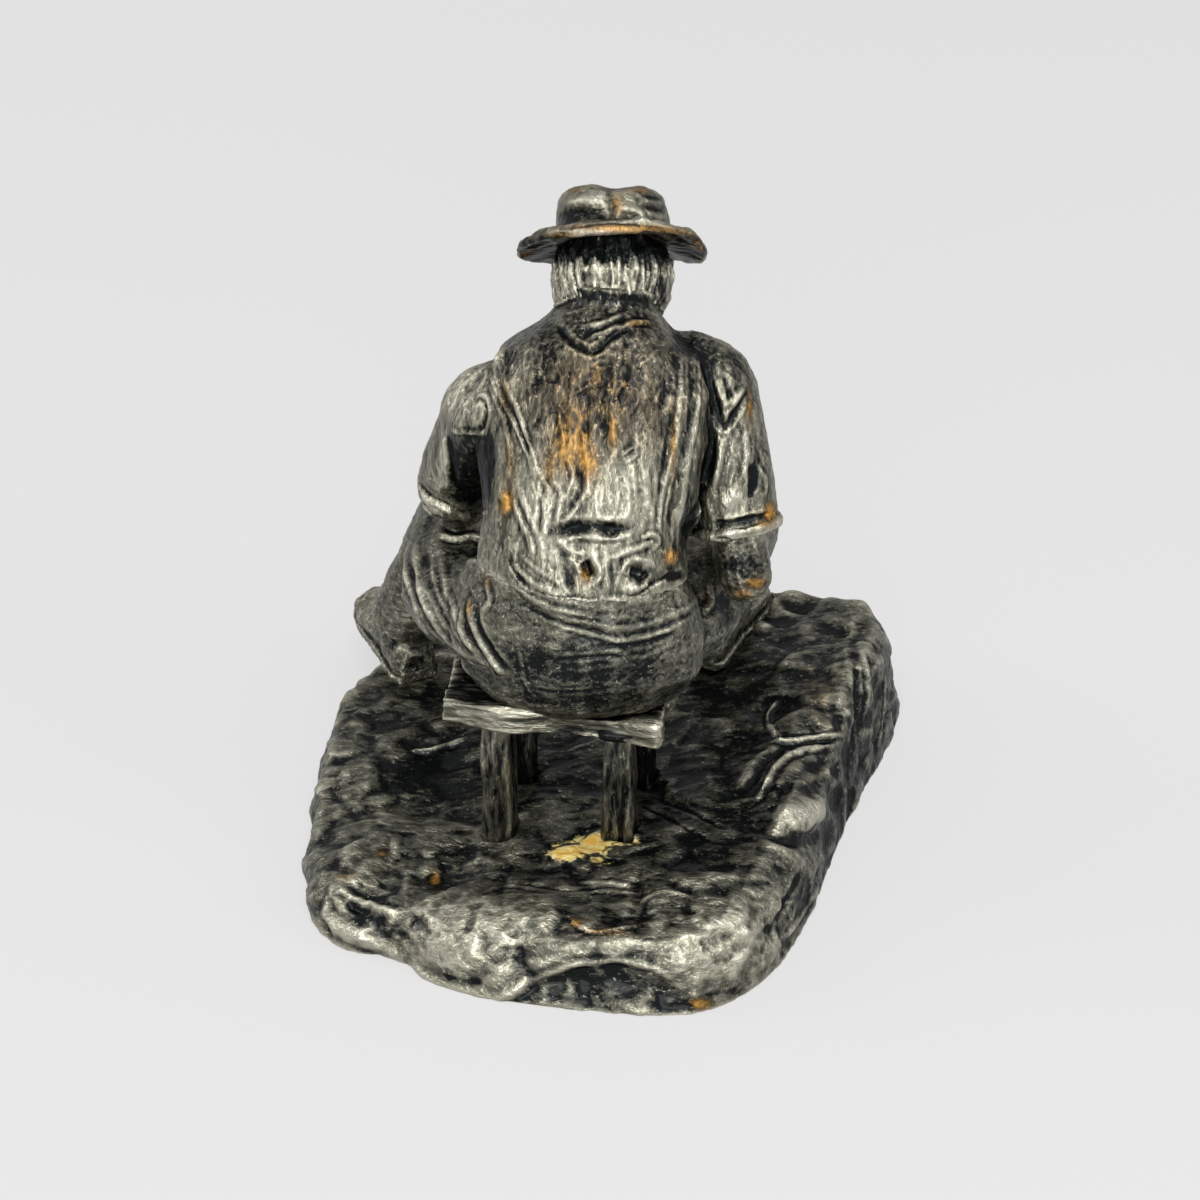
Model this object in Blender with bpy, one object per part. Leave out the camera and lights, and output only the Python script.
"""Bronze of a seated man in a brimmed hat, on a low plank stool on a hollow cast patch of ground.

The figure is made of cast sections that meet in narrow seams, with dowels in the shoulder and waist
seams and screws from below. Metres, +Z up. The man faces +Y. The origin is the middle of the
footprint, on the table. Body places are given from the middle of the top of the stool seat.
"""

import math

import bmesh
import bpy
from mathutils import Matrix, Vector, noise

# Fits and fixings
SEAM_GAP = 0.0003
SOCKET_DEPTH = 0.0020
SPIGOT_LENGTH = 0.0060
DOWEL_RADIUS = 0.0016
DOWEL_LENGTH = 0.0130
DOWEL_SIDES = 12
SCREW_RADIUS = 0.0012
SCREW_HEAD_RADIUS = 0.0024
SCREW_HEAD_HEIGHT = 0.0016
SCREW_BITE = 0.0060
BOSS_RADIUS = 0.0045
BOSS_PROUD = 0.0012

# Ground
GROUND_HEIGHT = 0.0162
GROUND_RISE_RIGHT = 0.11
GROUND_RISE_FRONT = 0.06
GROUND_LUMP = 0.0024
GROUND_LUMP_SPACING = 0.0125
GROUND_CALM = 0.55
GROUND_CALM_REACH = 0.0300
GROUND_SCOOP = 0.0036
GROUND_SCOOP_REACH = 0.0180
GROUND_SCOOP_PLACE = Vector((0.0200, -0.0710, 0.0))
GROUND_ROLL_FROM = 0.0100
GROUND_ROLL_REACH = 0.0450
GROUND_WALL = 0.0036
GROUND_ROOF = 0.0032
GROUND_BATTER = 0.20
GROUND_SIDES = 64
# Mounds and hollows of the ground: place, reach, height
GROUND_MOUNDS = (
    (-0.047, -0.050, 0.011, 0.0032),
    (0.000, -0.064, 0.018, 0.0016),
    (0.056, 0.030, 0.018, 0.0030),
    (-0.056, 0.000, 0.016, 0.0024),
    (0.024, -0.040, 0.013, 0.0018),
    (0.053, -0.013, 0.009, 0.0026),
    (0.047, 0.009, 0.007, 0.0020),
    (-0.007, -0.060, 0.009, 0.0018),
    (0.045, -0.062, 0.010, 0.0020),
    (-0.039, -0.034, 0.009, 0.0022),
    (-0.051, -0.016, 0.009, 0.0018),
    (-0.030, -0.012, 0.010, -0.0020),
    (0.018, -0.050, 0.009, -0.0014),
)
GROUND_OUTLINE = (
    (-0.0500, -0.0520), (-0.0405, -0.0610), (-0.0275, -0.0620), (-0.0165, -0.0690),
    (0.0000, -0.0715), (0.0195, -0.0710), (0.0410, -0.0670), (0.0540, -0.0500),
    (0.0588, -0.0250), (0.0610, 0.0110), (0.0652, 0.0380), (0.0654, 0.0560),
    (0.0565, 0.0680), (0.0320, 0.0720), (0.0000, 0.0720), (-0.0260, 0.0690),
    (-0.0455, 0.0600), (-0.0555, 0.0430), (-0.0625, 0.0220), (-0.0612, -0.0070),
    (-0.0568, -0.0320),
)

# Stool
SEAT_PLACE = Vector((0.0, -0.0170, 0.0))
STOOL_HEIGHT = 0.0338
SEAT_LENGTH = 0.0490
SEAT_DEPTH = 0.0300
SEAT_THICKNESS = 0.0060
SEAT_EDGE = 0.0006
LEG_SIDE = 0.0072
LEG_TAPER = 0.90
LEG_INSET_X = 0.0108
LEG_INSET_Y = 0.0045
LEG_SHIFT = 0.0012
SEAT_SCREW_SPREAD = 0.0070

# Trousers
HIP_SHIFT = 0.0020
HIP_HALF_WIDTH = 0.0285
HIP_HALF_DEPTH = 0.0175
THIGH_HALF_WIDTH = 0.0138
THIGH_HALF_DEPTH = 0.0118
KNEE_RADIUS = 0.0098
HEM_RADIUS = 0.0082
LEFT_THIGH = Vector((-0.0275, 0.0200, 0.0070))
LEFT_KNEE = Vector((-0.0330, 0.0450, 0.0130))
RIGHT_THIGH = Vector((0.0225, 0.0200, 0.0080))
RIGHT_KNEE = Vector((0.0300, 0.0460, 0.0140))
THIGH_SEAM = 0.0060
HIP_JOINT_SPREAD = 0.0140
HIP_JOINT_HEIGHT = 0.0110
THIGH_ARCH = 0.0010
TROUSER_BREAK = 0.0015
WAISTBAND_RISE = 0.0040

# Boots, heel places on the ground from the seat middle
BOOT_LENGTH = 0.0360
BOOT_HALF_WIDTH = 0.0070
BOOT_SHAFT_RADIUS = 0.0062
BOOT_SINK = 0.0006
SOLE_THICKNESS = 0.0016
SOLE_WELT = 0.0004
ANKLE_HEIGHT = 0.0140
INSTEP_HEIGHT = 0.0112
LEFT_HEEL = Vector((-0.0450, 0.0435, 0.0))
LEFT_TURNOUT = math.radians(30.0)
RIGHT_HEEL = Vector((0.0210, 0.0500, 0.0))
RIGHT_TURNOUT = math.radians(-10.0)

# Waistcoat
HEM_HEIGHT = 0.0290
TRUNK_LENGTH = 0.0535
TRUNK_LEAN = 0.0225
TRUNK_SHIFT = 0.0050
TRUNK_TWIST = math.radians(12.0)
HEM_AHEAD = 0.0015
WAIST_HALF_WIDTH = 0.0226
WAIST_HALF_DEPTH = 0.0172
CHEST_HALF_WIDTH = 0.0255
CHEST_HALF_DEPTH = 0.0172
SPINE_GROOVE = 0.0012
SHOULDER_TILT = 0.0014
TAIL_BULGE = 0.0016

# Arms: shoulders set from the collar, elbows from the shoulders, wrists from the seat
SLEEVE_RADIUS = 0.0088
CUFF_RADIUS = 0.0080
CUFF_ROLL = 0.0010
CUFF_REACH = 0.0080
CUFF_SHARE = 0.70
SHOULDER_SEAM = 0.0035
SHOULDER_ROUND = Vector((0.0050, 0.0, 0.0056))
FOREARM_RADIUS = 0.0056
WRIST_RADIUS = 0.0041
LEFT_SHOULDER_OFFSET = Vector((-0.0258, -0.0095, -0.0233))
LEFT_UPPER_ARM = Vector((-0.0104, 0.0140, -0.0295))
LEFT_WRIST = Vector((-0.0270, 0.0580, 0.0292))
RIGHT_SHOULDER_OFFSET = Vector((0.0240, -0.0005, -0.0176))
RIGHT_UPPER_ARM = Vector((0.0092, -0.0096, -0.0409))
RIGHT_WRIST = Vector((0.0262, 0.0435, 0.0315))
PALM_LENGTH = 0.0125
PALM_HALF_WIDTH = 0.0062
PALM_HALF_DEPTH = 0.0028
FINGER_LENGTH = 0.0110
FINGER_RADIUS = 0.0015
HAND_LAP = 0.0020
PALM_DROP = 0.0010
KNUCKLE_DROP = 0.0006
THUMB_DROP = 0.0008

# Head and hat
HEAD_TILT = math.radians(40.0)
HEAD_HALF_WIDTH = 0.0106
HEAD_HALF_DEPTH = 0.0132
SKULL_HEIGHT = 0.0085
NAPE_PLACE = Vector((0.0, -0.0040, -0.0090))
NOSE_HALF_WIDTH = 0.0026
NOSE_HALF_HEIGHT = 0.0040
NOSE_DROP = 0.0095
NOSE_PROUD = 0.0030
CHIN_HALF_WIDTH = 0.0050
CHIN_HALF_HEIGHT = 0.0030
CHIN_DROP = 0.0190
CHIN_PROUD = 0.0012
BRIM_OFFSET = Vector((-0.0014, 0.0115, 0.0083))
BRIM_HALF_WIDTH = 0.0205
BRIM_HALF_LENGTH = 0.0228
BRIM_THICKNESS = 0.0013
BRIM_DROOP = 0.0022
BRIM_BACK_RISE = 0.50
BRIM_BACK_DROP = 0.0022
BRIM_LEFT_DROP = 0.35
CROWN_HALF_WIDTH = 0.0122
CROWN_HALF_LENGTH = 0.0145
CROWN_HEIGHT = 0.0122
CROWN_DENT = 0.0022
CROWN_DENT_HALF_WIDTH = 0.0048

# Loft resolution
LIMB_SIDES = 16
BODY_SIDES = 28
HEAD_SIDES = 24
HAT_SIDES = 36

SIDE = Vector((1.0, 0.0, 0.0))
UP = Vector((0.0, 0.0, 1.0))
SEAT_TOP = GROUND_HEIGHT + STOOL_HEIGHT
SEAT_POINT = SEAT_PLACE + UP * SEAT_TOP
COLLAR_PLACE = Vector((TRUNK_SHIFT, TRUNK_LEAN, HEM_HEIGHT + TRUNK_LENGTH))
LEFT_SHOULDER = COLLAR_PLACE + LEFT_SHOULDER_OFFSET
LEFT_ELBOW = LEFT_SHOULDER + LEFT_UPPER_ARM
RIGHT_SHOULDER = COLLAR_PLACE + RIGHT_SHOULDER_OFFSET
RIGHT_ELBOW = RIGHT_SHOULDER + RIGHT_UPPER_ARM
BRIM_PLACE = COLLAR_PLACE + BRIM_OFFSET

BRONZE_BROWN = (0.045, 0.036, 0.026, 1.0)
BRONZE_RUBBED = (0.30, 0.19, 0.09, 1.0)
STEEL_GREY = (0.30, 0.30, 0.31, 1.0)


def clear_scene():
    """Start from an empty file with one collection for the piece and one for its cutters."""
    for thing in list(bpy.data.objects):
        bpy.data.objects.remove(thing)
    for name in ("seated_figure_bronze", "cutters"):
        group = bpy.data.collections.new(name)
        bpy.context.scene.collection.children.link(group)


def cast_material(name, colour, roughness):
    """One Principled material."""
    made = bpy.data.materials.new(name)
    made.use_nodes = True
    shader = made.node_tree.nodes["Principled BSDF"]
    shader.inputs["Base Color"].default_value = colour
    shader.inputs["Metallic"].default_value = 1.0
    shader.inputs["Roughness"].default_value = roughness
    return made


def mesh_object(name, bm, cutter=False):
    """Turn a bmesh into an object of the piece, or into a hidden cutter."""
    bmesh.ops.recalc_face_normals(bm, faces=bm.faces)
    mesh = bpy.data.meshes.new(name)
    bm.to_mesh(mesh)
    bm.free()
    made = bpy.data.objects.new(name, mesh)
    bpy.data.collections["cutters" if cutter else "seated_figure_bronze"].objects.link(made)
    if cutter:
        made.hide_render = True
        made.display_type = "WIRE"
    return made


def combine(target, tool, operation):
    """Add one live Boolean."""
    step = target.modifiers.new(operation.lower() + "_" + tool.name, "BOOLEAN")
    step.object = tool
    step.operation = operation
    step.solver = "EXACT"


def cut(target, *tools):
    """Cut every tool out of the target."""
    for tool in tools:
        combine(target, tool, "DIFFERENCE")


def grown(source, gap=SEAM_GAP):
    """A hidden copy of a part, larger by the gap all round, that cuts room for it."""
    bm = bmesh.new()
    bm.from_mesh(source.data)
    bm.normal_update()
    moves = [(vert, vert.normal * gap * vert.calc_shell_factor()) for vert in bm.verts]
    for vert, move in moves:
        vert.co += move
    return mesh_object("room_for_" + source.name, bm, cutter=True)


def fuse(name, *parts):
    """Join overlapping hidden parts; returns the piece and one cutter with clearance for each part."""
    rooms = [grown(part) for part in parts]
    first = parts[0]
    for part in parts[1:]:
        combine(first, part, "UNION")
    bpy.context.view_layer.update()
    solid = first.evaluated_get(bpy.context.evaluated_depsgraph_get())
    mesh = bpy.data.meshes.new_from_object(solid)
    mesh.name = name
    for part in parts:
        bpy.data.objects.remove(part)
    made = bpy.data.objects.new(name, mesh)
    bpy.data.collections["seated_figure_bronze"].objects.link(made)
    return made, rooms


def cylinder(name, start, end, radius, cutter=False, sides=DOWEL_SIDES):
    """A round bar between two points."""
    axis = end - start
    turn = axis.to_track_quat("Z", "X").to_matrix().to_4x4()
    bm = bmesh.new()
    bmesh.ops.create_cone(
        bm, cap_ends=True, segments=sides, radius1=radius, radius2=radius, depth=axis.length,
        matrix=Matrix.Translation((start + end) / 2) @ turn)
    return mesh_object(name, bm, cutter)


def spline(values, share):
    """Smooth interpolation through a list of vectors; share runs from 0 to 1."""
    last = len(values) - 1
    place = min(share * last, last - 1e-9)
    index = int(place)
    part = place - index
    p0 = values[max(index - 1, 0)]
    p1 = values[index]
    p2 = values[index + 1]
    p3 = values[min(index + 2, last)]
    rise = (p2 - p0) * part
    bend = (p0 * 2 - p1 * 5 + p2 * 4 - p3) * part ** 2
    turn = (p1 * 3 - p0 - p2 * 3 + p3) * part ** 3
    return p1 + (rise + bend + turn) * 0.5


def smooth_stations(stations, count):
    """Fill in loft stations (centre, half width, half depth) between the given ones."""
    centres = [station[0] for station in stations]
    sizes = [Vector(station[1:3]) for station in stations]
    filled = []
    for index in range(count):
        share = index / (count - 1)
        size = spline(sizes, share)
        filled.append((spline(centres, share), size.x, size.y))
    return filled


def domed(stations, start=False, end=False):
    """Loft stations with one or both ends rounded off."""
    full = list(stations)
    for wanted, tip, inner, front in ((start, 0, 1, True), (end, -1, -2, False)):
        if wanted:
            centre, half_width, half_depth = full[tip]
            out = (centre - full[inner][0]).normalized() * max(half_width, half_depth)
            for reach, share in ((0.5, 0.86), (0.85, 0.5)):
                ring = (centre + out * reach, half_width * share, half_depth * share)
                full.insert(0 if front else len(full), ring)
    return full


def loft_rings(bm, rings):
    """Join loops of equal count point to point, in order, and close both ends."""
    for first, second in zip(rings, rings[1:]):
        count = len(first)
        for index in range(count):
            after = (index + 1) % count
            bm.faces.new((first[index], first[after], second[after], second[index]))
    for end in (rings[0], rings[-1]):
        bm.faces.new(end)


def oval_ring(bm, matrix, sides):
    """One closed loop of a unit circle under the given matrix."""
    return bmesh.ops.create_circle(bm, cap_ends=False, segments=sides, radius=1.0, matrix=matrix)["verts"]


def axes_matrix(side, depth, centre):
    """Local X along side, local Y along depth; their lengths scale the loop."""
    matrix = Matrix((side, depth, side.cross(depth).normalized())).transposed().to_4x4()
    matrix.translation = centre
    return matrix


def limb(name, stations, sides=LIMB_SIDES, cutter=False, twist=None):
    """Loft of ovals square to a bent path. twist turns the side direction along the path, in radians."""
    bm = bmesh.new()
    rings = []
    last = len(stations) - 1
    for index, (centre, half_width, half_depth) in enumerate(stations):
        before = stations[max(index - 1, 0)][0]
        after = stations[min(index + 1, last)][0]
        along = (after - before).normalized()
        side = SIDE
        if twist is not None:
            side = Matrix.Rotation(twist * index / last, 3, "Z") @ SIDE
        side = (side - along * side.dot(along)).normalized()
        depth = along.cross(side)
        rings.append(oval_ring(bm, axes_matrix(side * half_width, depth * half_depth, centre), sides))
    loft_rings(bm, rings)
    return mesh_object(name, bm, cutter)


def seat_at(place):
    """A place given from the middle of the seat top."""
    return SEAT_POINT + place


def slope_height(x, y):
    """Height of the smooth ground without its lumps."""
    across = (x - SEAT_PLACE.x) * GROUND_RISE_RIGHT
    ahead = (y - SEAT_PLACE.y) * GROUND_RISE_FRONT
    return GROUND_HEIGHT + across + ahead


def ground_height(x, y):
    """Height of the modelled ground, calmer round the stool."""
    place = Vector((x, y, 0.0))
    calm = 1 - GROUND_CALM * math.exp(-((place - SEAT_PLACE).length / GROUND_CALM_REACH) ** 2)
    height = slope_height(x, y) + GROUND_LUMP * calm * noise.noise(place / GROUND_LUMP_SPACING)
    for middle_x, middle_y, reach, rise in GROUND_MOUNDS:
        height += rise * math.exp(-((x - middle_x) ** 2 + (y - middle_y) ** 2) / reach ** 2)
    return height


def hollow_ceiling(place):
    """Height of the ceiling of the hollow under the ground."""
    return slope_height(place.x, place.y) - GROUND_ROOF - GROUND_LUMP


def ground_outline(share):
    """Point of the footprint, the share going once round."""
    points = [Vector((x, y, 0.0)) for x, y in GROUND_OUTLINE]
    closed = points[-1:] + points + points[:2]
    inner = (1 + share * len(points)) / (len(closed) - 1)
    return spline(closed, inner)


def ground_ring(bm, inset, height_at):
    """One loop of the ground, a fixed distance or a share inside the footprint."""
    ring = oval_ring(bm, Matrix.Identity(4), GROUND_SIDES)
    for index, vert in enumerate(ring):
        edge = ground_outline(index / GROUND_SIDES)
        share = inset(edge)
        place = edge * share
        vert.co = (place.x, place.y, height_at(place))
    return ring


def scoop(edge):
    """How far the near side of the ground is hollowed in at a place of the footprint."""
    return GROUND_SCOOP * math.exp(-((edge - GROUND_SCOOP_PLACE).length / GROUND_SCOOP_REACH) ** 2)


def rolled(place):
    """Share of the roll-over at a place of the ground: all on the near side, none on the far side."""
    return min(max((GROUND_ROLL_FROM - place.y) / GROUND_ROLL_REACH, 0.0), 1.0)


def ground_base():
    """Ground before hollowing: battered outer wall, scooped and rolled over on the near side, lumpy top."""
    def batter(edge, steps, bite):
        drop = steps[0].lerp(steps[1], rolled(edge)).x
        inset = GROUND_BATTER * drop * slope_height(edge.x, edge.y) + bite * scoop(edge)
        return 1 - inset / edge.length

    def level(place, steps):
        return steps[0].lerp(steps[1], rolled(place)).y * ground_height(place.x, place.y)

    bm = bmesh.new()
    rings = [ground_ring(bm, lambda edge: 1.0, lambda place: 0.0)]
    # Step inward and share of the height, on the far and on the near side, then the share of the scoop
    for far, near, bite in (
            ((0.35, 0.45), (0.30, 0.36), 1.0),
            ((0.75, 0.85), (0.85, 0.70), 0.6),
            ((1.30, 0.99), (1.90, 0.92), 0.1)):
        steps = (Vector(far), Vector(near))
        rings.append(ground_ring(
            bm, lambda edge, steps=steps, bite=bite: batter(edge, steps, bite),
            lambda place, steps=steps: level(place, steps)))
    for share in (0.86, 0.78, 0.70, 0.61, 0.52, 0.43, 0.33, 0.23, 0.13, 0.05):
        rings.append(ground_ring(
            bm, lambda edge, share=share: share, lambda place: ground_height(place.x, place.y)))
    loft_rings(bm, rings)
    bmesh.ops.triangulate(bm, faces=bm.faces)
    return mesh_object("ground_base", bm)


def ground_hollow():
    """The space inside the ground, reaching just below the table plane."""
    def wall(edge, batter):
        inset = GROUND_WALL + scoop(edge) + GROUND_BATTER * batter * slope_height(edge.x, edge.y)
        return 1 - inset / edge.length

    bm = bmesh.new()
    rings = [
        ground_ring(bm, lambda edge: wall(edge, 0.0), lambda place: -SEAM_GAP),
        ground_ring(bm, lambda edge: wall(edge, 0.5), lambda place: 0.6 * hollow_ceiling(place)),
        ground_ring(bm, lambda edge: wall(edge, 1.3), hollow_ceiling),
        ground_ring(bm, lambda edge: 0.5, hollow_ceiling),
        ground_ring(bm, lambda edge: 0.1, hollow_ceiling),
    ]
    loft_rings(bm, rings)
    return mesh_object("ground_hollow", bm, cutter=True)


def stool_legs():
    """Four square legs, let into the seat above and the ground below; name to object and foot place."""
    legs = {}
    for row, ahead in (("rear", -1), ("front", 1)):
        for hand, across in (("left", -1), ("right", 1)):
            x = SEAT_PLACE.x + LEG_SHIFT + across * (SEAT_LENGTH / 2 - LEG_INSET_X)
            y = SEAT_PLACE.y + ahead * (SEAT_DEPTH / 2 - LEG_INSET_Y)
            foot = Vector((x, y, slope_height(x, y) - SOCKET_DEPTH))
            top = Vector((x, y, SEAT_TOP - SEAT_THICKNESS + SOCKET_DEPTH))
            bm = bmesh.new()
            bmesh.ops.create_cone(
                bm, cap_ends=True, segments=4, radius1=LEG_SIDE / math.sqrt(2),
                radius2=LEG_SIDE * LEG_TAPER / math.sqrt(2), depth=top.z - foot.z,
                matrix=Matrix.Translation((foot + top) / 2) @ Matrix.Rotation(math.pi / 4, 4, "Z"))
            bmesh.ops.bevel(
                bm, geom=[edge for edge in bm.edges], offset=SEAT_EDGE, segments=1, affect="EDGES",
                profile=0.5)
            legs[row + "_" + hand] = (mesh_object("stool_leg_" + row + "_" + hand, bm), foot)
    return legs


def stool_seat():
    """The plank."""
    bm = bmesh.new()
    size = Matrix.Diagonal((SEAT_LENGTH, SEAT_DEPTH, SEAT_THICKNESS, 1.0))
    middle = SEAT_POINT - UP * SEAT_THICKNESS / 2
    bmesh.ops.create_cube(bm, size=1.0, matrix=Matrix.Translation(middle) @ size)
    bmesh.ops.bevel(
        bm, geom=bm.edges[:], offset=SEAT_EDGE, segments=2, affect="EDGES", profile=0.5)
    return mesh_object("stool_seat", bm)


def boot(hand, heel, turnout):
    """Boot with sole and shaft, standing in the ground; returns it, its rooms, its ankle and its floor."""
    place = SEAT_PLACE + heel
    ahead = Matrix.Rotation(turnout, 3, "Z") @ Vector((0.0, 1.0, 0.0))
    across = ahead.cross(UP)
    middle = place + ahead * BOOT_LENGTH / 2
    floor = slope_height(middle.x, middle.y) - BOOT_SINK
    # Shares of the length from the heel, the half width, and the height of the upper
    outline = (
        (0.00, 0.55, 0.63), (0.06, 0.74, 0.88), (0.20, 0.80, 1.00), (0.38, 0.78, 0.89),
        (0.56, 0.92, 0.71), (0.74, 1.00, 0.59), (0.90, 0.86, 0.50), (1.00, 0.45, 0.36),
    )
    bm = bmesh.new()
    rings = []
    for share, width, top in outline:
        centre = place + ahead * BOOT_LENGTH * share
        height = INSTEP_HEIGHT * top
        centre.z = floor + height / 2
        ring = oval_ring(
            bm, axes_matrix(across * BOOT_HALF_WIDTH * width, UP * height * 0.62, centre), LIMB_SIDES)
        for vert in ring:
            vert.co.z = max(vert.co.z, floor + SOLE_THICKNESS / 2)
        rings.append(ring)
    loft_rings(bm, rings)
    upper = mesh_object("upper_" + hand, bm, cutter=True)
    bm = bmesh.new()
    edge = []
    for way, stations in ((1, outline), (-1, outline[::-1])):
        for share, width, top in stations:
            corner = place + ahead * BOOT_LENGTH * share
            corner += across * way * (BOOT_HALF_WIDTH * width + SOLE_WELT)
            edge.append(bm.verts.new((corner.x, corner.y, floor)))
    tread = bmesh.ops.extrude_face_region(bm, geom=[bm.faces.new(edge)])["geom"]
    lifted = [item for item in tread if isinstance(item, bmesh.types.BMVert)]
    bmesh.ops.translate(bm, verts=lifted, vec=UP * SOLE_THICKNESS)
    sole = mesh_object("sole_" + hand, bm, cutter=True)
    ankle = place + ahead * BOOT_LENGTH * 0.24
    ankle.z = floor + ANKLE_HEIGHT
    top = ankle + UP * SPIGOT_LENGTH
    low = ankle - UP * ANKLE_HEIGHT * 0.5
    shaft = cylinder("shaft_" + hand, low, top, BOOT_SHAFT_RADIUS, cutter=True, sides=LIMB_SIDES)
    made, rooms = fuse(hand + "_boot", upper, shaft, sole)
    return made, rooms, ankle, floor


def thigh_limb(hand, hip, thigh, knee):
    """Thigh from inside the hip to the knee, whole; it is sawn across later."""
    halfway = (thigh + knee) / 2 + UP * THIGH_ARCH
    stations = smooth_stations([
        (hip, THIGH_HALF_WIDTH * 0.8, THIGH_HALF_DEPTH * 0.85),
        (thigh, THIGH_HALF_WIDTH, THIGH_HALF_DEPTH),
        (halfway, (THIGH_HALF_WIDTH + KNEE_RADIUS) / 2, (THIGH_HALF_DEPTH + KNEE_RADIUS) / 2),
        (knee, KNEE_RADIUS, KNEE_RADIUS)], 9)
    return limb("thigh_" + hand, domed(stations, end=True), cutter=True)


def shin_limb(hand, knee, ankle):
    """Trouser leg from the knee to the hem, with the calf behind."""
    stations = smooth_stations([
        (knee, KNEE_RADIUS * 0.97, KNEE_RADIUS * 0.97),
        (knee * 0.7 + ankle * 0.3, KNEE_RADIUS * 0.92, KNEE_RADIUS * 0.95),
        (knee * 0.36 + ankle * 0.64, HEM_RADIUS, HEM_RADIUS),
        (ankle - UP * TROUSER_BREAK, HEM_RADIUS * 1.04, HEM_RADIUS * 1.06)], 7)
    return limb("shin_" + hand, domed(stations, start=True), cutter=True)


def sawn(source, name, point, normal, keep_front):
    """A hidden copy of a closed part with one side of a plane removed and the cut closed."""
    bm = bmesh.new()
    bm.from_mesh(source.data)
    bmesh.ops.bisect_plane(
        bm, geom=bm.verts[:] + bm.edges[:] + bm.faces[:], plane_co=point, plane_no=normal,
        clear_inner=keep_front, clear_outer=not keep_front)
    open_edges = [edge for edge in bm.edges if edge.is_boundary]
    bmesh.ops.contextual_create(bm, geom=open_edges)
    return mesh_object(name, bm, cutter=True)


def trousers(seat_room, boots):
    """Trouser seat with thigh roots, and two legs joined to it with spigots across the thigh."""
    bottom = SEAT_TOP + SEAM_GAP
    top = SEAT_TOP + HEM_HEIGHT + WAISTBAND_RISE
    middle = SEAT_PLACE + SIDE * HIP_SHIFT
    # Shares of the height, half width and half depth, and the forward shift as a share of the half depth
    bands = (
        (0.00, 0.74, 0.84, -0.03), (0.10, 0.88, 0.95, -0.05), (0.28, 0.99, 1.02, -0.06),
        (0.48, 1.00, 1.03, 0.0), (0.68, 0.92, 1.00, 0.06), (0.86, 0.80, 0.96, 0.09),
        (1.00, 0.72, 0.88, 0.11),
    )
    stations = []
    for share, width, depth, ahead in bands:
        centre = Vector((middle.x + TRUNK_SHIFT * 0.4 * share, middle.y + HIP_HALF_DEPTH * ahead, 0))
        centre.z = bottom + (top - bottom) * share
        stations.append((centre, HIP_HALF_WIDTH * width, HIP_HALF_DEPTH * depth))
    parts = [limb("hips", stations, sides=BODY_SIDES, cutter=True)]
    legs = {}
    for hand, across, thigh_place, knee_place in (
            ("left", -1, LEFT_THIGH, LEFT_KNEE), ("right", 1, RIGHT_THIGH, RIGHT_KNEE)):
        hip = seat_at(Vector((HIP_SHIFT + across * HIP_JOINT_SPREAD, 0.0, HIP_JOINT_HEIGHT)))
        thigh = seat_at(thigh_place)
        knee = seat_at(knee_place)
        whole = thigh_limb(hand, hip, thigh, knee)
        along = (knee - thigh).normalized()
        seam = thigh + along * THIGH_SEAM
        parts.append(sawn(whole, "thigh_root_" + hand, seam, along, keep_front=False))
        lower = sawn(whole, "lower_thigh_" + hand, seam + along * SEAM_GAP, along, keep_front=True)
        bpy.data.objects.remove(whole)
        shin = shin_limb(hand, knee, boots[hand][2])
        spigot = cylinder(
            "spigot_" + hand, seam - along * SPIGOT_LENGTH, seam + along * SPIGOT_LENGTH,
            KNEE_RADIUS * 0.5, True, LIMB_SIDES)
        legs[hand] = fuse(hand + "_trouser_leg", lower, shin, spigot)
    hips, rooms = fuse("trouser_seat", *parts)
    cut(hips, seat_room, legs["left"][1][2], legs["right"][1][2])
    return hips, rooms, legs


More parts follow.
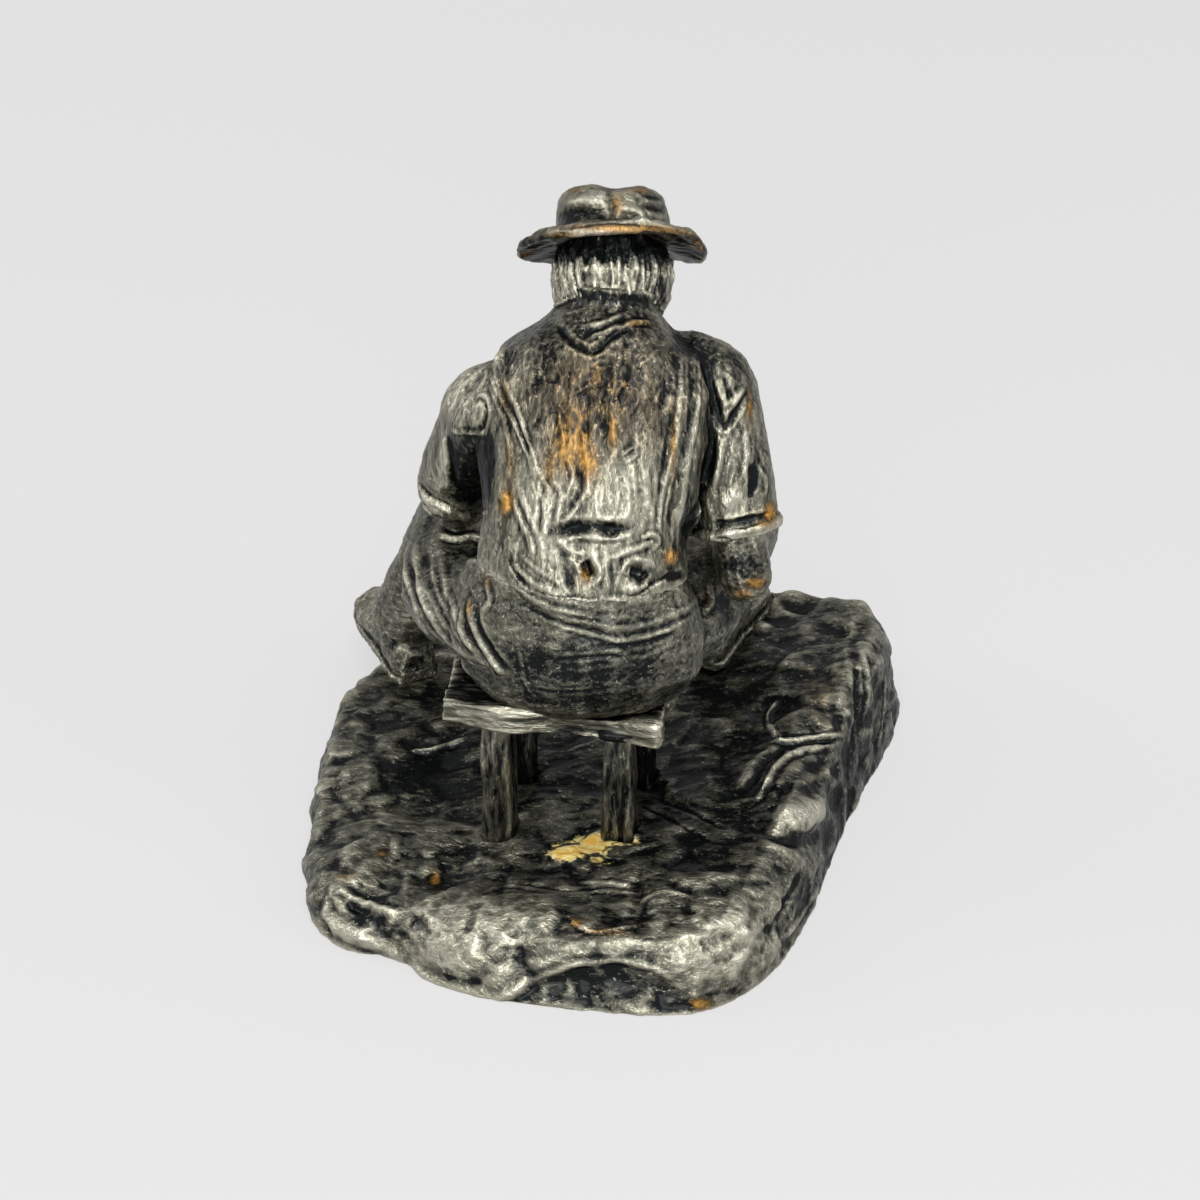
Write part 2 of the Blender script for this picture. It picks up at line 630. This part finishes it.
def waistcoat():
    """Trunk in a waistcoat: flared hem, blades of the back, sloping shoulders, groove along the spine."""
    # Shares of the height, the lean, the half width and the half depth, and how far the section has
    # gone from waist to chest; the last two bands are the collar
    bands = (
        (0.00, 0.00, 1.03, 1.03, 0.0), (0.05, 0.02, 1.01, 1.00, 0.0), (0.16, 0.08, 0.96, 0.95, 0.1),
        (0.34, 0.24, 0.97, 0.97, 0.5), (0.54, 0.46, 1.00, 1.02, 1.0), (0.70, 0.62, 1.03, 1.02, 1.0),
        (0.82, 0.76, 0.93, 0.93, 1.0), (0.91, 0.88, 0.63, 0.77, 1.0), (0.97, 0.96, 0.465, 0.63, 1.0),
        (1.00, 1.00, 0.42, 0.58, 1.0), (1.03, 1.05, 0.455, 0.63, 1.0), (1.06, 1.08, 0.44, 0.60, 1.0),
    )
    low = seat_at(Vector((TRUNK_SHIFT * 0.8, HEM_AHEAD, HEM_HEIGHT)))
    stations = []
    for share, lean, width, depth, chest in bands:
        centre = low + Vector((TRUNK_SHIFT * 0.2 * share, TRUNK_LEAN * lean, TRUNK_LENGTH * share))
        half_width = WAIST_HALF_WIDTH + (CHEST_HALF_WIDTH - WAIST_HALF_WIDTH) * chest
        half_depth = WAIST_HALF_DEPTH + (CHEST_HALF_DEPTH - WAIST_HALF_DEPTH) * chest
        stations.append((centre, half_width * width, half_depth * depth))
    made = limb("waistcoat", stations, sides=BODY_SIDES, twist=TRUNK_TWIST)
    for vert in made.data.vertices:
        share = (vert.co.z - low.z) / TRUNK_LENGTH
        middle = low + Vector((TRUNK_SHIFT * 0.2 * share, TRUNK_LEAN * share, 0))
        aside = (vert.co.x - middle.x) / CHEST_HALF_WIDTH
        if vert.co.y < middle.y and 0.1 < share < 0.9:
            vert.co.y += SPINE_GROOVE * math.exp(-(aside / 0.22) ** 2)
        if vert.co.y < middle.y:
            vert.co.y -= TAIL_BULGE * math.exp(-(aside / 0.38) ** 2 - ((share - 0.08) / 0.11) ** 2)
        vert.co.z += SHOULDER_TILT * aside * min(max((share - 0.55) / 0.3, 0), 1)
    return made


def rolled_cuff(stations):
    """Sleeve stations with a rolled edge added at the end."""
    end, half_width, half_depth = stations[-1]
    along = (end - stations[-2][0]).normalized()
    roll = []
    for reach, swell in ((0.3, 1.0), (1.4, 1.0), (1.9, 0.4)):
        centre = end + along * CUFF_ROLL * reach
        roll.append((centre, half_width + CUFF_ROLL * swell, half_depth + CUFF_ROLL * swell))
    return stations + roll


def left_sleeve(shoulder, elbow, cuff):
    """Sleeve of the bent arm: upper part and a short part past the elbow."""
    upper = smooth_stations([
        (shoulder + SHOULDER_ROUND, SLEEVE_RADIUS * 0.95, SLEEVE_RADIUS * 0.95),
        (shoulder, SLEEVE_RADIUS, SLEEVE_RADIUS * 1.03),
        (shoulder * 0.5 + elbow * 0.5, SLEEVE_RADIUS * 0.98, SLEEVE_RADIUS),
        (elbow, CUFF_RADIUS, CUFF_RADIUS)], 9)
    lower = rolled_cuff([(elbow, CUFF_RADIUS, CUFF_RADIUS), (cuff, CUFF_RADIUS, CUFF_RADIUS)])
    return fuse(
        "left_sleeve", limb("upper_sleeve", domed(upper, True, True), cutter=True),
        limb("lower_sleeve", domed(lower, start=True), cutter=True))


def right_sleeve(shoulder, cuff):
    """Sleeve of the hanging arm, rolled up above the elbow."""
    stations = smooth_stations([
        (shoulder + SHOULDER_ROUND * Vector((-1.0, 1.0, 1.0)), SLEEVE_RADIUS * 0.95, SLEEVE_RADIUS * 0.95),
        (shoulder, SLEEVE_RADIUS, SLEEVE_RADIUS * 1.03),
        (shoulder * 0.5 + cuff * 0.5, SLEEVE_RADIUS * 1.06, SLEEVE_RADIUS * 1.02),
        (cuff, CUFF_RADIUS * 1.14, CUFF_RADIUS * 1.06)], 9)
    return limb("right_sleeve", rolled_cuff(domed(stations, start=True)))


def hand_on_knee(hand, wrist, along, down):
    """Palm with four fingers and a thumb, as overlapping hidden parts."""
    across = along.cross(down).normalized()
    thumb_side = across if hand == "left" else -across
    palm_end = wrist + along * PALM_LENGTH + down * PALM_DROP
    palm = limb("palm_" + hand, smooth_stations([
        (wrist - along * HAND_LAP, WRIST_RADIUS * 0.8, WRIST_RADIUS * 0.66),
        (wrist + along * PALM_LENGTH * 0.45, PALM_HALF_WIDTH, PALM_HALF_DEPTH),
        (palm_end, PALM_HALF_WIDTH * 0.96, PALM_HALF_DEPTH * 0.72)], 5), sides=12, cutter=True)
    parts = [palm]
    for index in range(4):
        aside = (index - 1.5) / 1.5
        reach = FINGER_LENGTH * (1.0 - 0.12 * aside * aside - 0.08 * aside)
        root = palm_end - along * HAND_LAP + thumb_side * (-aside * PALM_HALF_WIDTH * 0.72)
        knuckle = root + along * reach * 0.45 + down * KNUCKLE_DROP
        tip = knuckle + along * reach * 0.35 + down * reach * 0.45
        parts.append(limb("finger_%s_%d" % (hand, index), smooth_stations([
            (root, FINGER_RADIUS, FINGER_RADIUS),
            (knuckle, FINGER_RADIUS, FINGER_RADIUS),
            (tip, FINGER_RADIUS * 0.72, FINGER_RADIUS * 0.72)], 5), sides=8, cutter=True))
    root = wrist + along * PALM_LENGTH * 0.25 + thumb_side * PALM_HALF_WIDTH * 0.5
    bend = root + along * PALM_LENGTH * 0.45 + thumb_side * PALM_HALF_WIDTH * 0.75 + down * THUMB_DROP
    tip = bend + along * FINGER_LENGTH * 0.45 + down * FINGER_LENGTH * 0.25
    parts.append(limb("thumb_" + hand, smooth_stations([
        (root, FINGER_RADIUS * 1.1, FINGER_RADIUS * 1.2),
        (bend, FINGER_RADIUS * 1.1, FINGER_RADIUS * 1.1),
        (tip, FINGER_RADIUS * 0.8, FINGER_RADIUS * 0.8)], 5), sides=8, cutter=True))
    return parts


def forearm(hand, root, elbow, wrist):
    """Bare forearm from inside the sleeve, past the elbow, to the fingertips."""
    upper = smooth_stations([
        (root, FOREARM_RADIUS * 0.96, FOREARM_RADIUS * 0.96),
        (elbow, FOREARM_RADIUS, FOREARM_RADIUS * 1.04)], 3)
    lower = smooth_stations([
        (elbow, FOREARM_RADIUS, FOREARM_RADIUS),
        (elbow * 0.65 + wrist * 0.35, FOREARM_RADIUS * 1.02, FOREARM_RADIUS),
        (wrist, WRIST_RADIUS, WRIST_RADIUS * 0.86)], 6)
    parts = [
        limb("arm_root_" + hand, domed(upper, end=True), cutter=True),
        limb("arm_" + hand, domed(lower, start=True), cutter=True),
    ]
    along = (wrist - elbow).normalized()
    ahead = (along * 0.8 + Vector((0, 0.5, -0.25))).normalized()
    down = (-UP - ahead * (-UP).dot(ahead)).normalized()
    return fuse(hand + "_forearm", *parts, *hand_on_knee(hand, wrist, ahead, down))


def head_frame():
    """Frame of the head: local Z out of the crown, local Y to the face, origin in the hat brim."""
    turn = Matrix.Rotation(TRUNK_TWIST, 4, "Z") @ Matrix.Rotation(-HEAD_TILT, 4, "X")
    return Matrix.Translation(seat_at(BRIM_PLACE)) @ turn


def head():
    """Skull with hair, brow, nose and chin, and the neck that stands in the collar."""
    frame = head_frame()
    # Height from the brim as a share of the skull height, shares of half width and half depth, and the
    # forward shift as a share of the half depth
    bands = (
        (-2.65, 0.30, 0.24, 0.45), (-2.41, 0.62, 0.48, 0.34), (-2.00, 0.92, 0.76, 0.17),
        (-1.47, 1.14, 0.96, 0.015), (-0.94, 1.22, 1.02, -0.03), (-0.47, 1.20, 1.02, 0.0),
        (-0.14, 1.06, 1.00, 0.0), (0.12, 0.92, 0.94, 0.0), (0.47, 0.84, 0.88, 0.0),
        (0.80, 0.64, 0.68, 0.0), (1.00, 0.32, 0.36, 0.0),
    )
    bm = bmesh.new()
    rings = []
    for height, width, depth, ahead in bands:
        rings.append(oval_ring(bm, axes_matrix(
            SIDE * HEAD_HALF_WIDTH * width, Vector((0, HEAD_HALF_DEPTH * depth, 0)),
            Vector((0, HEAD_HALF_DEPTH * ahead, SKULL_HEIGHT * height))), HEAD_SIDES))
    loft_rings(bm, rings)
    for vert in bm.verts:
        face_on = max(vert.co.y, 0) / HEAD_HALF_DEPTH
        nose_level = (vert.co.z + NOSE_DROP) / NOSE_HALF_HEIGHT
        nose = math.exp(-(vert.co.x / NOSE_HALF_WIDTH) ** 2 - nose_level ** 2)
        chin_level = (vert.co.z + CHIN_DROP) / CHIN_HALF_HEIGHT
        chin = math.exp(-(vert.co.x / CHIN_HALF_WIDTH) ** 2 - chin_level ** 2)
        vert.co.y += face_on * (NOSE_PROUD * nose + CHIN_PROUD * chin)
    bm.transform(frame)
    skull = mesh_object("skull", bm, cutter=True)
    collar = seat_at(Vector((TRUNK_SHIFT, TRUNK_LEAN + HEM_AHEAD, HEM_HEIGHT + TRUNK_LENGTH)))
    nape = frame @ NAPE_PLACE
    lean = (nape - collar).normalized()
    neck = limb("neck", smooth_stations([
        (collar - lean * SPIGOT_LENGTH, HEAD_HALF_WIDTH * 0.72, HEAD_HALF_DEPTH * 0.60),
        (collar, HEAD_HALF_WIDTH * 0.84, HEAD_HALF_DEPTH * 0.66),
        (nape, HEAD_HALF_WIDTH * 0.86, HEAD_HALF_DEPTH * 0.66)], 5), sides=HEAD_SIDES, cutter=True)
    return fuse("head", skull, neck)


def hat():
    """Soft hat: an oval brim with a rolled edge that droops at the sides, and a pinched crown."""
    # Half width and half length as shares of brim or crown, height of the loop
    loops = (
        ("crown", 0.90, 0.0), ("brim", 0.88, 0.0), ("brim", 0.97, -0.25), ("brim", 1.00, 0.5),
        ("brim", 0.97, 1.25), ("brim", 0.88, 1.0), ("crown", 1.09, 1.2), ("crown", 1.00, 2.2),
        ("crown", 0.97, 5.0), ("crown", 0.90, 8.0), ("crown", 0.74, 9.5), ("crown", 0.44, 10.0),
        ("crown", 0.12, 10.0),
    )
    bm = bmesh.new()
    rings = []
    for kind, share, level in loops:
        half_width = BRIM_HALF_WIDTH if kind == "brim" else CROWN_HALF_WIDTH
        half_length = BRIM_HALF_LENGTH if kind == "brim" else CROWN_HALF_LENGTH
        height = level * BRIM_THICKNESS
        if level > 2:
            height = CROWN_HEIGHT * level / 10.0
        matrix = axes_matrix(SIDE * half_width * share, Vector((0, half_length * share, 0)), UP * height)
        rings.append(oval_ring(bm, matrix, HAT_SIDES))
    loft_rings(bm, rings)
    for vert in bm.verts:
        out = min((vert.co.x / BRIM_HALF_WIDTH) ** 2 + (vert.co.y / BRIM_HALF_LENGTH) ** 2, 1.0)
        turn = math.atan2(vert.co.y, vert.co.x)
        flop = math.cos(2 * turn) + 0.35 * math.sin(3 * turn + 0.6)
        if vert.co.y < 0 and flop < 0:
            flop *= BRIM_BACK_RISE
        behind = max(-vert.co.y / BRIM_HALF_LENGTH, 0) * (1 - BRIM_LEFT_DROP * vert.co.x / BRIM_HALF_WIDTH)
        droop = (BRIM_DROOP * flop + BRIM_BACK_DROP * behind) * max(out - 0.35, 0) / 0.65
        dent = math.exp(-(vert.co.x / CROWN_DENT_HALF_WIDTH) ** 2) * max(vert.co.z / CROWN_HEIGHT, 0) ** 4
        vert.co.z -= droop + CROWN_DENT * dent
    bm.transform(head_frame())
    return mesh_object("hat", bm)


def screw(name, seat, bite):
    """Pan head screw driven straight up, its head under the seat point; returns it and its clearance."""
    shank = cylinder(
        name + "_shank", seat - UP * SCREW_HEAD_HEIGHT / 2, seat + UP * bite, SCREW_RADIUS, True)
    knob = cylinder(
        name + "_head", seat - UP * (SCREW_HEAD_HEIGHT + SEAM_GAP), seat - UP * SEAM_GAP,
        SCREW_HEAD_RADIUS, True)
    room = cylinder(
        name + "_room", seat - UP * SCREW_HEAD_HEIGHT, seat + UP * (bite + SEAM_GAP),
        SCREW_RADIUS + SEAM_GAP, True)
    return fuse(name, knob, shank)[0], room


def ground_screw(name, foot, target, hollow):
    """Screw through a boss of the ground into the piece that stands above it."""
    seat = Vector((foot.x, foot.y, hollow_ceiling(foot) - BOSS_PROUD))
    boss = cylinder(name + "_boss", seat, foot, BOSS_RADIUS, True, LIMB_SIDES)
    made, room = screw(name, seat, foot.z - seat.z + SCREW_BITE)
    cut(hollow, boss)
    cut(target, room)
    return made, room


def dowel(name, middle, along, *pieces):
    """Round pin across a seam, with its bore in both pieces."""
    start = middle - along * DOWEL_LENGTH / 2
    end = middle + along * DOWEL_LENGTH / 2
    slack = along * SEAM_GAP
    bore = cylinder(name + "_bore", start - slack, end + slack, DOWEL_RADIUS + SEAM_GAP, True)
    for piece in pieces:
        cut(piece, bore)
    return cylinder(name, start, end, DOWEL_RADIUS)


def build():
    """Make every piece, cut the fits, and give each its material."""
    clear_scene()
    base = ground_base()
    hollow = ground_hollow()
    seat = stool_seat()
    legs = stool_legs()
    boots = {
        "left": boot("left", LEFT_HEEL, LEFT_TURNOUT),
        "right": boot("right", RIGHT_HEEL, RIGHT_TURNOUT),
    }
    hips, hip_rooms, shanks = trousers(grown(seat), boots)
    trunk = waistcoat()
    trunk_room = grown(trunk)
    skull, skull_rooms = head()
    cap = hat()

    left_elbow = seat_at(LEFT_ELBOW)
    left_wrist = seat_at(LEFT_WRIST)
    left_cuff = left_elbow + (left_wrist - left_elbow).normalized() * CUFF_REACH
    right_elbow = seat_at(RIGHT_ELBOW)
    right_cuff = seat_at(RIGHT_SHOULDER).lerp(right_elbow, CUFF_SHARE)
    sleeves = {
        "left": left_sleeve(seat_at(LEFT_SHOULDER), left_elbow, left_cuff)[0],
        "right": right_sleeve(seat_at(RIGHT_SHOULDER), right_cuff),
    }
    right_root = right_cuff.lerp(right_elbow, -SPIGOT_LENGTH / (right_elbow - right_cuff).length)
    left_root = left_cuff.lerp(left_elbow, SPIGOT_LENGTH / CUFF_REACH)
    arms = {
        "left": forearm("left", left_root, left_cuff.lerp(left_wrist, 0.2), left_wrist),
        "right": forearm("right", right_root, right_elbow, seat_at(RIGHT_WRIST)),
    }
    for hand in ("left", "right"):
        shank, shank_rooms = shanks[hand]
        arm, arm_rooms = arms[hand]
        shoe, shoe_rooms = boots[hand][:2]
        cut(arm, *shank_rooms[:2], *hip_rooms)
        cut(sleeves[hand], trunk_room, *arm_rooms[:2], *shank_rooms[:2], *hip_rooms)
        upper_room, shaft_room, sole_room = shoe_rooms
        cut(shank, upper_room, shaft_room, sole_room)
        cut(base, sole_room, upper_room)
    cut(cap, *skull_rooms)
    cut(trunk, *skull_rooms)
    cut(hips, trunk_room)

    pins = []
    shoulder_axis = Matrix.Rotation(TRUNK_TWIST, 3, "Z") @ SIDE
    for hand, place, out in (("left", LEFT_SHOULDER, -1), ("right", RIGHT_SHOULDER, 1)):
        middle = seat_at(place) - shoulder_axis * out * SHOULDER_SEAM
        pins.append(dowel(hand + "_shoulder_dowel", middle, shoulder_axis, sleeves[hand], trunk))
    waist = seat_at(Vector((TRUNK_SHIFT * 0.8, HEM_AHEAD, HEM_HEIGHT)))
    pins.append(dowel("waist_dowel", waist, UP, hips, trunk))

    screws = []
    screw_rooms = []
    for place, (leg, foot) in legs.items():
        leg_room = grown(leg)
        cut(seat, leg_room)
        cut(base, leg_room)
        made, room = ground_screw("leg_screw_" + place, foot, leg, hollow)
        screws.append(made)
        screw_rooms.append(room)
    for hand, (shoe, shoe_rooms, ankle, floor) in boots.items():
        foot = Vector((ankle.x, ankle.y, floor))
        made, room = ground_screw("boot_screw_" + hand, foot, shoe, hollow)
        screws.append(made)
        screw_rooms.append(room)
    for hand, across in (("left", -1), ("right", 1)):
        under = SEAT_POINT + Vector((across * SEAT_SCREW_SPREAD, 0, -SEAT_THICKNESS))
        made, room = screw("seat_screw_" + hand, under, SEAT_THICKNESS + SCREW_BITE)
        cut(seat, room)
        cut(hips, room)
        screws.append(made)
    cut(base, hollow, *screw_rooms)

    brown = cast_material("patinated_bronze", BRONZE_BROWN, 0.42)
    rubbed = cast_material("rubbed_bronze", BRONZE_RUBBED, 0.35)
    steel = cast_material("bright_steel", STEEL_GREY, 0.30)
    for thing in bpy.data.collections["seated_figure_bronze"].objects:
        thing.data.materials.clear()
        thing.data.materials.append(steel if thing in screws else rubbed if thing in pins else brown)


build()
